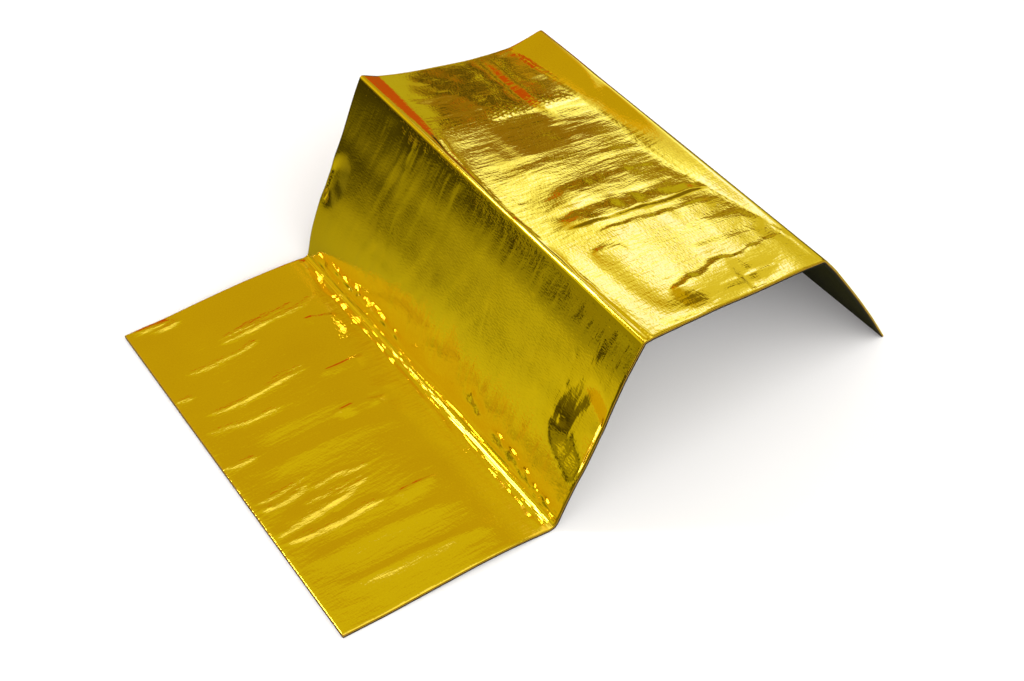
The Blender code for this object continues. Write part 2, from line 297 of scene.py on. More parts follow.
# name, points as (place across, counted in panels from the flat edge, place along), half, height, profile, jag
# A lip is steep on the side of lower place along, or on the other side where its points run from right to left.
CREASES = (
    # flat panel: thin wrinkles that run across it
    ("flat_a", ((0.10, 0.812), (0.19, 0.803), (0.30, 0.803), (0.40, 0.803), (0.54, 0.815)), 1.0, 0.26, "lip", 0.5),
    ("flat_b", ((0.33, 0.850), (0.54, 0.850), (0.68, 0.852), (0.79, 0.854), (0.86, 0.868), (0.90, 0.887)), 1.6, 0.40, "lip", 0.5),
    ("flat_b2", ((0.42, 0.866), (0.56, 0.867), (0.70, 0.868), (0.78, 0.873)), 0.9, 0.20, "lip", 0.8),
    ("flat_b3", ((0.34, 0.858), (0.45, 0.862), (0.58, 0.857)), 0.8, 0.18, "lip", 0.8),
    ("flat_c", ((0.07, 0.673), (0.18, 0.667), (0.30, 0.667), (0.49, 0.674), (0.64, 0.672)), 1.3, 0.36, "lip", 0.4),
    ("flat_c2", ((0.40, 0.690), (0.52, 0.688), (0.62, 0.684)), 0.8, 0.16, "lip", 0.7),
    ("flat_d", ((0.02, 0.628), (0.12, 0.618), (0.24, 0.608), (0.42, 0.604)), 0.8, 0.18, "lip", 0.8),
    ("flat_e", ((0.00, 0.745), (0.10, 0.737)), 0.9, 0.30, "lip", 0.3),
    ("flat_f", ((0.00, 0.516), (0.07, 0.508), (0.17, 0.508)), 1.1, 0.34, "lip", 0.3),
    ("flat_g1", ((0.02, 0.392), (0.11, 0.389), (0.22, 0.396), (0.31, 0.400)), 1.1, 0.26, "lip", 0.8),
    ("flat_g2", ((0.02, 0.374), (0.11, 0.362), (0.22, 0.372), (0.29, 0.388)), 1.7, 0.42, "lip", 0.7),
    ("flat_g3", ((0.26, 0.366), (0.39, 0.368), (0.48, 0.357), (0.56, 0.358)), 0.9, 0.22, "lip", 0.8),
    ("flat_g4", ((0.18, 0.339), (0.32, 0.331), (0.44, 0.336), (0.52, 0.337)), 1.0, 0.22, "lip", 0.8),
    ("flat_g5", ((0.30, 0.322), (0.42, 0.322), (0.52, 0.326)), 0.9, 0.20, "lip", 0.8),
    ("flat_h", ((0.00, 0.288), (0.09, 0.292), (0.20, 0.303), (0.34, 0.306), (0.47, 0.322)), 1.9, 0.46, "lip", 0.5),
    ("flat_i", ((0.02, 0.264), (0.14, 0.257), (0.28, 0.253), (0.40, 0.257), (0.52, 0.254)), 1.5, 0.40, "lip", 0.3),
    ("flat_i2", ((0.75, 0.250), (0.68, 0.252), (0.60, 0.252), (0.52, 0.248)), 1.3, 0.66, "dash", 0.5),
    ("flat_j", ((0.81, 0.505), (0.763, 0.509), (0.648, 0.521), (0.56, 0.518)), 1.3, 0.64, "dash", 0.6),
    ("flat_k", ((0.86, 0.640), (0.81, 0.641), (0.695, 0.642), (0.63, 0.646)), 1.2, 0.50, "dash", 0.6),
    ("flat_k2", ((0.90, 0.789), (0.86, 0.792), (0.785, 0.808), (0.74, 0.811)), 1.2, 0.50, "dash", 0.5),
    ("flat_l", ((0.10, 0.975), (0.18, 0.968), (0.27, 0.972)), 1.3, 0.42, "lip", 0.4),
    ("flat_l2", ((0.02, 0.992), (0.10, 0.988), (0.22, 0.982)), 1.5, 0.52, "lip", 0.4),
    ("flat_m", ((0.08, 0.100), (0.30, 0.094), (0.60, 0.084), (0.84, 0.071)), 5.0, 0.35, "soft", 0.6),
    ("flat_n", ((0.02, 0.190), (0.40, 0.185), (0.80, 0.165)), 7.0, 0.30, "soft", 0.6),
    ("flat_o", ((0.10, 0.460), (0.50, 0.455), (0.90, 0.440)), 8.0, 0.30, "soft", 0.6),
    ("flat_p", ((0.18, 0.560), (0.58, 0.548), (0.92, 0.530)), 6.0, 0.28, "soft", 0.6),
    # climbing panel
    ("climb_a", ((1.95, 0.762), (1.86, 0.772), (1.73, 0.766), (1.62, 0.767)), 2.0, 0.35, "sharp", 0.5),
    ("climb_b", ((1.97, 0.735), (1.86, 0.727), (1.73, 0.737), (1.60, 0.740)), 2.2, 0.35, "sharp", 0.5),
    ("climb_c", ((1.81, 0.485), (1.54, 0.488), (1.30, 0.498)), 1.3, 0.16, "sharp", 0.5),
    ("climb_d", ((1.84, 0.406), (1.61, 0.399), (1.42, 0.386)), 1.3, 0.16, "sharp", 0.5),
    ("climb_e", ((1.71, 0.230), (1.52, 0.230), (1.35, 0.233)), 1.2, 0.18, "sharp", 0.5),
    ("climb_f", ((1.73, 0.184), (1.57, 0.184), (1.39, 0.194)), 1.2, 0.16, "sharp", 0.5),
    ("climb_g", ((1.42, 0.773), (1.28, 0.780), (1.19, 0.783)), 1.4, 0.25, "sharp", 0.4),
    ("climb_h", ((1.33, 0.647), (1.21, 0.647)), 1.1, 0.20, "sharp", 0.3),
    ("climb_j", ((1.74, 0.070), (1.66, 0.095), (1.54, 0.120), (1.39, 0.129), (1.31, 0.108), (1.265, 0.060), (1.235, 0.020), (1.21, -0.040)), 15.0, -2.3, "facet", 0.7),
    ("climb_m", ((1.29, 0.980), (1.35, 0.950), (1.46, 0.925), (1.57, 0.932), (1.64, 0.965)), 12.0, -2.3, "facet", 0.9),
    ("climb_k", ((1.45, 0.137), (1.43, 0.118)), 0.9, 0.40, "sharp", 0.5),
    ("climb_k2", ((1.42, 0.112), (1.44, 0.086)), 1.3, 0.55, "sharp", 0.6),
    ("climb_k3", ((1.40, 0.072), (1.34, 0.050)), 1.1, 0.45, "sharp", 0.5),
    ("climb_k4", ((1.585, 0.130), (1.565, 0.108)), 1.0, 0.50, "sharp", 0.4),
    ("climb_k5", ((1.75, 0.138), (1.70, 0.123)), 1.0, 0.30, "sharp", 0.4),
    ("climb_l1", ((1.87, 0.502), (1.85, 0.492)), 0.8, 0.30, "sharp", 0.3),
    ("climb_l2", ((1.85, 0.480), (1.84, 0.470)), 0.8, 0.30, "sharp", 0.3),
    ("climb_l3", ((1.88, 0.402), (1.87, 0.390)), 0.9, 0.30, "sharp", 0.3),
    ("climb_l4", ((1.85, 0.356), (1.83, 0.348)), 0.8, 0.30, "sharp", 0.3),
    ("climb_l5", ((1.82, 0.300), (1.81, 0.290)), 0.8, 0.30, "sharp", 0.3),
    ("climb_l6", ((1.86, 0.243), (1.84, 0.232)), 0.9, 0.30, "sharp", 0.3),
    ("climb_l7", ((1.86, 0.176), (1.84, 0.166)), 0.8, 0.30, "sharp", 0.3),
    # top: the near sides of these catch the light
    ("top_ladder", ((2.34, 0.757), (2.53, 0.756), (2.67, 0.752), (2.84, 0.748)), 3.0, 0.46, "blocks", 0.5),
    ("top_patch", ((2.60, 0.768), (2.72, 0.768), (2.85, 0.760), (2.99, 0.740)), 16.0, 0.9, "lip", 1.0),
    ("top_wide", ((2.16, 0.540), (2.40, 0.548), (2.62, 0.540), (2.80, 0.515)), 10.0, 0.22, "lip", 2.0),
    ("top_a", ((2.16, 0.418), (2.45, 0.412), (2.72, 0.405), (2.88, 0.392)), 5.0, 0.28, "lip", 1.2),
    ("top_crest", ((2.13, 0.354), (2.38, 0.340), (2.54, 0.338), (2.66, 0.331), (2.81, 0.333), (2.93, 0.322)), 2.4, 0.75, "lip", 0.5),
    # and the far sides of these turn from it
    ("top_b", ((2.84, 0.440), (2.72, 0.442), (2.45, 0.449), (2.24, 0.459)), 5.0, 0.26, "lip", 2.2),
    ("top_c", ((2.94, 0.346), (2.83, 0.372), (2.57, 0.361), (2.33, 0.372), (2.10, 0.380)), 5.0, 0.30, "lip", 2.2),
    ("top_flank", ((2.92, 0.276), (2.80, 0.284), (2.62, 0.290), (2.43, 0.298), (2.24, 0.306)), 3.0, 0.42, "lip", 0.6),
    ("top_f", ((2.31, 0.236), (2.22, 0.248), (2.15, 0.262)), 5.0, 0.36, "lip", 1.6),
    ("top_g", ((2.68, 0.100), (2.60, 0.110), (2.50, 0.097), (2.39, 0.084), (2.26, 0.075)), 4.6, 0.80, "dash", 2.0),
    ("top_h", ((2.95, 0.118), (2.80, 0.108), (2.62, 0.098)), 2.6, 0.45, "dash", 1.0),
    ("top_i", ((2.80, 0.042), (2.62, 0.045), (2.46, 0.048)), 1.6, 0.25, "lip", 0.3),
    ("top_j", ((2.12, 0.300), (2.13, 0.200), (2.14, 0.094), (2.17, 0.045), (2.25, 0.028), (2.45, 0.022), (2.70, 0.024), (2.90, 0.070)), 9.0, -0.60, "soft", 0.6),
    ("top_l", ((2.96, 0.160), (2.88, 0.212), (2.68, 0.228)), 4.5, 0.40, "lip", 0.4),
    ("top_m", ((2.91, 0.147), (2.72, 0.152), (2.53, 0.171)), 4.0, 0.35, "lip", 0.4),
)

# wrinkles without a place of their own: where, their size along and across the panel in millimetres, and height
WRINKLES = (
    # name       q0    q1    v0    v1   soft  size_q  size_v  height  seed
    ("flat",     0.0,  0.95, 0.0,  1.0, 0.05,  55.0,   6.0,   0.022,  11),
    ("flat_far", 0.0,  0.95, 0.45, 1.0, 0.10,  70.0,  12.0,   0.05,   12),
    ("climb",    1.10, 1.96, 0.0,  1.0, 0.05,  45.0,   5.5,  0.090,   13),
    ("climb2",   1.10, 1.96, 0.0,  1.0, 0.05,  60.0,  16.0,  0.200,   14),
    ("climb3",   1.30, 1.96, 0.55, 0.86, 0.05, 60.0,   7.0,  0.260,   21),
    ("climb4",   1.10, 1.96, 0.0,  1.0, 0.05,  34.0,  26.0,  0.160,   22),
    ("top",      2.08, 2.86, 0.34, 0.60, 0.03, 26.0,   6.5,  0.050,   15),
    ("top1",     2.08, 2.86, 0.34, 0.60, 0.03, 50.0,  16.0,  0.180,   23),
    ("top2",     2.50, 2.90, 0.56, 0.76, 0.04, 30.0,   5.0,   0.05,   16),
    ("top3",     2.06, 2.95, 0.0,  0.34, 0.05, 40.0,   9.0,   0.04,   17),
    ("top4",     2.08, 2.86, 0.74, 1.0, 0.05,  22.0,  20.0,   0.16,   18),
    ("top6",     2.08, 2.86, 0.74, 1.0, 0.05,  12.0,   7.0,   0.035,  25),
    ("top5",     2.06, 2.86, 0.56, 0.78, 0.04, 70.0,  12.0,   0.03,   20),
    ("stand",    3.05, 4.0,  0.0,  1.0, 0.05,  50.0,  12.0,   0.20,   19),
)

# how strongly the cloth under the film shows: centre, radius, strength
GRAIN = (
    # q     along  half_q half_along strength
    (0.50,  0.50,  0.45,  0.60,  0.80),
    (1.55,  0.50,  0.45,  0.60,  0.90),
    (2.45,  0.45,  0.45,  0.12,  1.00),
    (2.42,  0.66,  0.32,  0.07,  0.45),
    (2.45,  0.88,  0.40,  0.10,  0.45),
    (2.50,  0.15,  0.45,  0.17,  1.15),
)

# creases of the valley, side by side along it: millimetres from its line, half, height, wander, seed
VALLEY = (
    (-9.4, 1.0, 0.30, 1.2, 33),
    (-7.2, 0.9, 0.62, 1.0, 42),
    (-4.9, 0.85, 0.80, 0.7, 34),
    (-2.6, 0.80, 0.72, 0.5, 35),
    (-0.4, 0.80, 0.66, 0.4, 36),
    (1.9, 0.80, 0.66, 0.4, 41),
    (4.2, 0.85, 0.72, 0.6, 40),
    (6.6, 0.9, 0.62, 0.8, 37),
    (9.2, 1.1, 0.30, 1.2, 38),
)

# small dents at the foot of the climbing panel, which catch the light: place across, along, half sizes, height
DENTS = (
    (1.064, 0.940, 3.6, 7.0, 0.78),
    (1.086, 0.876, 3.0, 5.0, 0.67),
    (1.080, 0.826, 3.6, 7.0, 0.84),
    (1.094, 0.784, 2.8, 4.5, 0.67),
    (1.084, 0.733, 3.4, 6.5, 0.78),
    (1.089, 0.675, 3.0, 6.0, 0.62),
    (1.086, 0.623, 2.6, 4.5, 0.50),
    (1.168, 0.345, 3.6, 5.0, 0.78),
    (1.150, 0.312, 3.6, 5.0, 0.73),
    (1.112, 0.232, 3.8, 6.5, 0.84),
    (1.104, 0.180, 3.8, 6.5, 0.90),
    (1.085, 0.128, 3.4, 6.0, 0.73),
    (1.060, 0.085, 3.2, 6.0, 0.78),
    (1.066, 0.045, 3.0, 5.0, 0.73),
    (0.950, 0.140, 1.8, 5.0, 0.30),
    (0.955, 0.060, 2.0, 5.0, 0.40),
    (0.955, 0.870, 1.6, 6.0, 0.28),
    (0.960, 0.760, 1.6, 6.0, 0.22),
)

# thin lines in the strips beside the two ridges: which crease they follow, how far between it and the ridge,
# half, height
STRIP_LINES = (
    (1, 1.00, 0.9, 0.60),
    (1, 0.68, 0.8, -0.60),
    (1, 0.35, 0.8, 0.36),
    (2, 0.00, 0.9, 0.36),
    (2, 0.10, 0.8, -0.30),
)


def dash_strength(q, v):
    """Where short fine wrinkles lie beside the long ones of the flat panel."""
    X, Y = q * PANEL, v * WIDTH
    out = np.zeros_like(X)
    for name, points, half, height, profile, jag in CREASES:
        if name.startswith("flat") and profile == "lip" and points[0][0] < points[-1][0]:
            out = np.maximum(out, crease(X, Y, points, 3.2 + half, 1.0, "soft", 1.0, 77))
    return out


def grain_strength(q, v):
    out = np.full(q.shape, 0.8)
    for cq, cv, hq, hv, strength in GRAIN:
        d = np.maximum(np.abs(q - cq) / hq, np.abs(v - cv) / hv)
        m = np.clip((1.15 - d) / 0.3, 0, 1)
        out = out * (1 - m) + strength * m
    # none on the tight folds
    for k, reach in ((1, 8.0), (2, 4.0), (3, 4.0)):
        out = out * (1 - 0.9 * np.exp(-(((q - k) * PANEL / reach) ** 4)))
    return out


def wrinkle_height(q, v):
    X, Y = q * PANEL, v * WIDTH
    h = np.zeros_like(X)
    for i, (name, points, half, height, profile, jag) in enumerate(CREASES):
        h += crease(X, Y, points, half, height, profile, jag, 100 + i)
    for name, q0, q1, v0, v1, soft, size_q, size_v, height, seed in WRINKLES:
        mask = np.clip((q - q0) / soft, 0, 1) * np.clip((q1 - q) / soft, 0, 1)
        if v0 > 0:
            mask = mask * np.clip((v - v0) / soft, 0, 1)
        if v1 < 1:
            mask = mask * np.clip((v1 - v) / soft, 0, 1)
        bend = 4 * noise(X / 40, Y / 60, seed + 7)
        n = noise(X / size_q, (Y + 0.07 * X + bend) / size_v, seed)
        n += 0.5 * noise(X / size_q * 1.9 + 9, (Y + 0.07 * X + bend) / size_v * 2.1, seed + 1)
        h += height * mask * n
    for off, half, height, wander, seed in VALLEY:
        d = (q - 1) * PANEL - off - wander * noise(Y / 34, Y * 0 + 0.5, seed) - 0.3 * noise(Y / 6, Y * 0 + 0.5, seed + 5)
        strength = np.clip(0.8 + 0.6 * noise(Y / 22, Y * 0 + 0.5, seed + 9), 0.3, 1.3)
        h += height * strength * np.exp(-np.sqrt(d * d + 0.1) / half)
    for cq, cv, half_x, half_y, height in DENTS:
        dx, dy = (q - cq) * PANEL, (v - cv) * WIDTH
        wobble = 0.5 * noise(X / 3.0, Y / 4.0, int(1000 * cq + 10000 * cv) % 97)
        h -= height * np.exp(-((dx / half_x) ** 2) - (dy / half_y) ** 2) * (1 + wobble)
    for which, part, half, height in STRIP_LINES:
        place = read(SECOND_CREASES, v, which)
        place = place * part if which == 1 else place + (1 - place) * part
        d = (q - 2 - place) * PANEL - 0.5 * noise(Y / 14, Y * 0 + which, 61) - 0.25 * noise(Y / 4, Y * 0 + which, 62)
        strength = np.clip(0.7 + 0.8 * noise(Y / 30, Y * 0 + part * 9, 63), 0, 1.3)
        if which == 1:
            strength = strength * np.clip((0.84 - v) / 0.10, 0.15, 1)
        h += height * strength * np.exp(-np.sqrt(d * d + 0.1) / half)
    return h


# ---------------------------------------------------------------- the mesh
def spaced(*stretches):
    """Places with about the given step, from stretches of (first, last, step in millimetres)."""
    out = []
    for a, b, step in stretches:
        n = max(1, round((b - a) * PANEL / step))
        out += list(a + (b - a) * np.arange(n) / n)
    return out + [stretches[-1][1]]


RIM = 0.7
Q = spaced((RIM / PANEL, 0.86, 2.7), (0.86, 0.955, 1.4), (0.955, 0.976, 0.75), (0.976, 1.03, 0.33), (1.03, 1.075, 0.75),
           (1.075, 1.14, 1.3), (1.14, 1.93, 2.9), (1.93, 1.975, 1.2), (1.975, 1.988, 0.75), (1.988, 2.015, 0.35), (2.015, 2.125, 0.75), (2.125, 2.80, 2.1),
           (2.80, 3.02, 1.3), (3.02, 3.10, 2.4), (3.10, 4.0 - RIM / PANEL, 9.0))
while (len(Q) - 1) % 4:
    Q.insert(-2, (Q[-3] + Q[-2]) / 2)
Q = np.array(sorted(Q))

# rows lie closer where there are thin wrinkles
CLOSE = ((0.03, 0.13), (0.24, 0.47), (0.495, 0.53), (0.595, 0.69), (0.735, 0.775), (0.795, 0.89), (0.96, 0.985))
ROWS = 4 * ((173000 // (2 * (len(Q) - 1))) // 4) + 1
dense = np.linspace(0, 1, 4001)
weight = 1 + 0.75 * sum(np.clip(1 - (np.abs(dense - (a + b) / 2) - (b - a) / 2) / 0.01, 0, 1) for a, b in CLOSE)
total = np.concatenate(([0], np.cumsum((weight[1:] + weight[:-1]) / 2)))
V = RIM / WIDTH + (1 - 2 * RIM / WIDTH) * np.interp(np.linspace(0, 1, ROWS), total / total[-1], dense)


def grid_normals(P):
    dq, dv = np.gradient(P, axis=1), np.gradient(P, axis=0)
    n = np.cross(dq, dv)
    return n / np.linalg.norm(n, axis=2)[:, :, None]


def sheet_mesh():
    q, v = np.meshgrid(Q, V)
    base = face(q, v)
    n = grid_normals(base)
    edge = np.clip(np.minimum(np.minimum(v, 1 - v) * WIDTH, np.minimum(q, 4 - q) * PANEL) / 4.0, 0, 1)
    top = base + n * (wrinkle_height(q, v) * (0.35 + 0.65 * edge))[:, :, None]
    top[..., 2] += THICK
    step = 4
    qc, vc = q[::step, ::step], v[::step, ::step]
    smooth = face(qc, vc, 2.4)
    nb = grid_normals(smooth)
    thick = THICK - 1.2 * np.clip((qc - 3.94) / 0.06, 0, 1)
    back = smooth - nb * thick[:, :, None]
    inside = (np.abs(qc - 2) < 0.08) | (np.abs(qc - 3) < 0.08)
    for _ in range(3):
        even = (back[:, :-2] + 2 * back[:, 1:-1] + back[:, 2:]) / 4
        back[:, 1:-1] = np.where(inside[:, 1:-1, None], even, back[:, 1:-1])
    back[..., 2] += THICK
    # the standing edge and the flat strip touch the surface
    back[..., 2] = np.where(qc <= 0.2, 0.0, back[..., 2])
    lift = back[:, -1, 2].copy()
    lift_fine = np.interp(V, V[::step], lift)
    top[..., 2] -= (lift_fine[:, None] * np.clip((q - 3.5) / 0.5, 0, 1) ** 2)
    back[..., 2] -= lift[:, None] * np.clip((qc - 3.5) / 0.5, 0, 1) ** 2
    back[..., 2] = np.maximum(back[..., 2], 0.0)

    rows, cols = top.shape[:2]
    crow, ccol = back.shape[:2]
    points = [top.reshape(-1, 3)]
    uv = [np.stack([q * PANEL, v * WIDTH], -1).reshape(-1, 2)]
    loops = [(0, c) for c in range(cols)] + [(r, cols - 1) for r in range(1, rows)]
    loops += [(rows - 1, c) for c in range(cols - 2, -1, -1)] + [(r, 0) for r in range(rows - 2, 0, -1)]
    loops = np.array(loops)
    count = len(loops)
    p = top[loops[:, 0], loops[:, 1]]
    nn = grid_normals(top)[loops[:, 0], loops[:, 1]]
    # outward direction: away from the sheet, in its surface
    out = np.zeros_like(p)
    flat_n = n[loops[:, 0], loops[:, 1]]
    dq, dv = np.gradient(base, axis=1)[loops[:, 0], loops[:, 1]], np.gradient(base, axis=0)[loops[:, 0], loops[:, 1]]
    dq /= np.linalg.norm(dq, axis=1)[:, None]
    dv /= np.linalg.norm(dv, axis=1)[:, None]
    r, c = loops[:, 0], loops[:, 1]
    out += np.where((r == 0)[:, None], -dv, 0) + np.where((r == rows - 1)[:, None], dv, 0)
    out += np.where((c == 0)[:, None], -dq, 0) + np.where((c == cols - 1)[:, None], dq, 0)
    thick_rim = THICK - 1.2 * np.clip((Q[c] - 3.94) / 0.06, 0, 1)
    rings = [(0.42 * RIM, 0.09 * RIM), (0.80 * RIM, 0.42 * RIM), (RIM, RIM), (RIM, 1.45)]
    lows = []
    for o, down in rings:
        ring = p + out * o - flat_n * (np.minimum(down, thick_rim - 0.2))[:, None]
        points.append(ring)
    low = p + out * (RIM - 0.1) - flat_n * (thick_rim - 0.25)[:, None]
    low[:, 2] = np.maximum(low[:, 2], 0.15)
    points.append(low)
    for _ in range(len(rings) + 1):
        uv.append(uv[0][loops[:, 0] * cols + loops[:, 1]])
    # the back's own rim lies where the film's side ends
    bloop = [(0, c) for c in range(ccol)] + [(r, ccol - 1) for r in range(1, crow)]
    bloop += [(crow - 1, c) for c in range(ccol - 2, -1, -1)] + [(r, 0) for r in range(crow - 2, 0, -1)]
    bloop = np.array(bloop)
    fine_at = np.arange(0, count, step)
    assert len(fine_at) == len(bloop)
    back_rim = p[fine_at] + out[fine_at] * (RIM - 0.45) - flat_n[fine_at] * thick_rim[fine_at][:, None]
    back_rim[:, 2] = np.maximum(back_rim[:, 2], 0.0)
    edge_back = back[bloop[:, 0], bloop[:, 1]]
    rim_z = np.where(np.abs(edge_back[:, 2]) < 1e-6, 0.0, back_rim[:, 2])
    back_rim[:, 2] = rim_z
    back[bloop[:, 0], bloop[:, 1]] = back_rim
    points.append(back.reshape(-1, 3))
    uv.append(np.stack([qc * PANEL, vc * WIDTH], -1).reshape(-1, 2))
    start_ring = rows * cols
    start_back = start_ring + count * (len(rings) + 1)
    faces, mats = [], []

    def quads(a, b, c_, d, m):
        faces.append(np.stack([a, b, c_, d], -1))
        mats.append(np.full(len(a), m))

    i = (np.arange(rows - 1)[:, None] * cols + np.arange(cols - 1)[None]).ravel()
    quads(i, i + 1, i + cols + 1, i + cols, 0)
    k = np.arange(count)
    k2 = (k + 1) % count
    first = loops[:, 0] * cols + loops[:, 1]
    prev = first
    for j in range(len(rings) + 1):
        ring = start_ring + j * count + k
        quads(prev, ring, ring[k2], prev[k2], 0 if j < 3 else (2 if j == 3 else 1))
        # painted shade: on the flat edge the outer rim rings take the dark cut-edge colour instead of gold, so that rim
        # catches no highlight
        if 0 < j < 3:
            mats[-1] = np.where(loops[:, 1] == 0, 2, mats[-1])
        prev = ring
    tris = []
    m = len(bloop)
    bi = start_back + bloop[:, 0] * ccol + bloop[:, 1]
    for a in range(m):
        b = (a + 1) % m
        f = [int(prev[(a * step + t) % count]) for t in range(step + 1)]
        half = step // 2
        for t in range(half):
            tris.append((f[t], int(bi[a]), f[t + 1]))
        tris.append((f[half], int(bi[a]), int(bi[b])))
        for t in range(half, step):
            tris.append((f[t], int(bi[b]), f[t + 1]))
    j = (np.arange(crow - 1)[:, None] * ccol + np.arange(ccol - 1)[None]).ravel() + start_back
    quads(j, j + ccol, j + ccol + 1, j + 1, 1)
    points = np.concatenate(points)
    points[:, 2] = np.maximum(points[:, 2], 0.0)
    points = (points - SHIFT) * MM
    uv = np.concatenate(uv) * MM
    faces = np.concatenate(faces)
    mats = list(np.concatenate(mats)) + [1] * len(tris)
    mesh = bpy.data.meshes.new("foil_cloth")
    mesh.from_pydata([tuple(x) for x in points.tolist()], [], [tuple(x) for x in faces.tolist()] + tris)
    mesh.update()
    mesh.polygons.foreach_set("material_index", np.array(mats, np.int32))
    layer = mesh.uv_layers.new(name="sheet")
    at = np.zeros(len(mesh.loops), np.int32)
    mesh.loops.foreach_get("vertex_index", at)
    layer.data.foreach_set("uv", uv[at].astype(np.float32).ravel())
    strength = mesh.attributes.new("grain", "FLOAT", "POINT")
    strength.data.foreach_set("value", grain_strength(uv[:, 0] / MM / PANEL, uv[:, 1] / MM / WIDTH).astype(np.float32))
    dash = mesh.attributes.new("dash", "FLOAT", "POINT")
    dash.data.foreach_set("value", dash_strength(uv[:, 0] / MM / PANEL, uv[:, 1] / MM / WIDTH).astype(np.float32))
    mesh.shade_smooth()
    mesh.set_sharp_from_angle(angle=math.radians(50))
    print("triangles", 2 * len(faces) + len(tris), "grid", rows, cols)
    return mesh


# ---------------------------------------------------------------- node helpers
class Nodes:
    def __init__(self, tree):
        self.tree = tree

    def new(self, kind, **values):
        node = self.tree.nodes.new(kind)
        for k, v in values.items():
            setattr(node, k, v)
        return node

    def link(self, a, b):
        self.tree.links.new(a, b)

    def put(self, socket, value):
        if isinstance(value, bpy.types.NodeSocket):
            self.link(value, socket)
        else:
            socket.default_value = value

    def math(self, op, a, b=None, c=None, clamp=False):
        node = self.new("ShaderNodeMath", operation=op, use_clamp=clamp)
        for socket, value in zip(node.inputs, (a, b, c)):
            if value is not None:
                self.put(socket, value)
        return node.outputs[0]

    def mix(self, factor, a, b):
        node = self.new("ShaderNodeMix", data_type="RGBA")
        self.put(node.inputs[0], factor)
        self.put(node.inputs[6], a)
        self.put(node.inputs[7], b)
        return node.outputs[2]


def rgb(r, g, b):
    return (r, g, b, 1.0)


def gold_material():
    material = bpy.data.materials.new("gold_film")
    material.use_nodes = True
    g = Nodes(material.node_tree)
    shader = material.node_tree.nodes["Principled BSDF"]
    uv = g.new("ShaderNodeUVMap", uv_map="sheet").outputs[0]

    def texture(scale_x, scale_y, size, detail=2.0, rough=0.5, rotate=0.0):
        mapping = g.new("ShaderNodeMapping")
        g.link(uv, mapping.inputs[0])
        mapping.inputs["Rotation"].default_value = (0, 0, rotate)
        mapping.inputs["Scale"].default_value = (scale_x, scale_y, 1)
        node = g.new("ShaderNodeTexNoise", noise_dimensions="2D")
        g.link(mapping.outputs[0], node.inputs["Vector"])
        node.inputs["Scale"].default_value = size
        node.inputs["Detail"].default_value = detail
        node.inputs["Roughness"].default_value = rough
        return node.outputs["Fac"]

    # colour: a little deeper in patches, as film over cloth is
    patch = texture(18, 30, 1.0, 3.0)
    speck = texture(700, 1000, 1.0, 1.0)
    patch = g.math("ADD", g.math("MULTIPLY", patch, 0.5), g.math("MULTIPLY", speck, 0.5))
    colour = g.mix(patch, rgb(0.80, 0.535, 0.0), rgb(0.94, 0.70, 0.002))
    g.link(colour, shader.inputs["Base Color"])
    shader.inputs["Metallic"].default_value = 1.0
    rough = g.math("MULTIPLY_ADD", texture(40, 160, 1.0, 2.0), 0.06, 0.015)
    g.link(rough, shader.inputs["Roughness"])
    shader.inputs["Coat Weight"].default_value = 1.0
    shader.inputs["Coat Roughness"].default_value = 0.05
    shader.inputs["Coat IOR"].default_value = 1.5
    # the cloth under the film shows as a fine slanting grain and as short flat ripples across the folds
    ripple = texture(70, 330, 1.0, 2.0, 0.55, 0.06)
    grain = texture(800, 330, 1.0, 1.0, 0.5, 0.7)
    strength = g.new("ShaderNodeAttribute", attribute_name="grain").outputs["Fac"]
    height = g.math("ADD", g.math("MULTIPLY", ripple, 0.8), g.math("MULTIPLY", grain, 0.40))
    height = g.math("MULTIPLY", height, strength)
    dashes = g.new("ShaderNodeAttribute", attribute_name="dash").outputs["Fac"]
    height = g.math("ADD", height, g.math("MULTIPLY", g.math("MULTIPLY", texture(170, 640, 1.0, 2.0, 0.6, 0.05), 1.6), dashes))
    bump = g.new("ShaderNodeBump")
    bump.inputs["Strength"].default_value = 1.0
    bump.inputs["Distance"].default_value = 0.00013
    g.link(height, bump.inputs["Height"])
    g.link(bump.outputs[0], shader.inputs["Normal"])
    g.link(bump.outputs[0], shader.inputs["Coat Normal"])
    return material


def black_material(name, colour, rough):
    material = bpy.data.materials.new(name)
    material.use_nodes = True
    g = Nodes(material.node_tree)
    shader = material.node_tree.nodes["Principled BSDF"]
    uv = g.new("ShaderNodeUVMap", uv_map="sheet").outputs[0]

    def wave(rotate):
        mapping = g.new("ShaderNodeMapping")
        g.link(uv, mapping.inputs[0])
        mapping.inputs["Rotation"].default_value = (0, 0, rotate)
        node = g.new("ShaderNodeTexWave", wave_type="BANDS", bands_direction="X")
        g.link(mapping.outputs[0], node.inputs["Vector"])
        node.inputs["Scale"].default_value = 260.0
        node.inputs["Distortion"].default_value = 0.6
        node.inputs["Detail"].default_value = 1.0
        return node.outputs["Fac"]

    weave = g.math("MAXIMUM", wave(0.785), wave(-0.785))
    noise_node = g.new("ShaderNodeTexNoise", noise_dimensions="2D")
    g.link(uv, noise_node.inputs["Vector"])
    noise_node.inputs["Scale"].default_value = 90.0
    dust = g.math("MULTIPLY", noise_node.outputs["Fac"], weave)
    light = tuple(min(1.0, c * 1.9 + 0.004) for c in colour)
    g.link(g.mix(dust, rgb(*colour), rgb(*light)), shader.inputs["Base Color"])
    g.link(g.math("MULTIPLY_ADD", weave, 0.15, rough), shader.inputs["Roughness"])
    bump = g.new("ShaderNodeBump")
    shader.inputs["Specular IOR Level"].default_value = 0.22
    bump.inputs["Distance"].default_value = 0.00012
    bump.inputs["Strength"].default_value = 0.6
    g.link(weave, bump.inputs["Height"])
    g.link(bump.outputs[0], shader.inputs["Normal"])
    return material


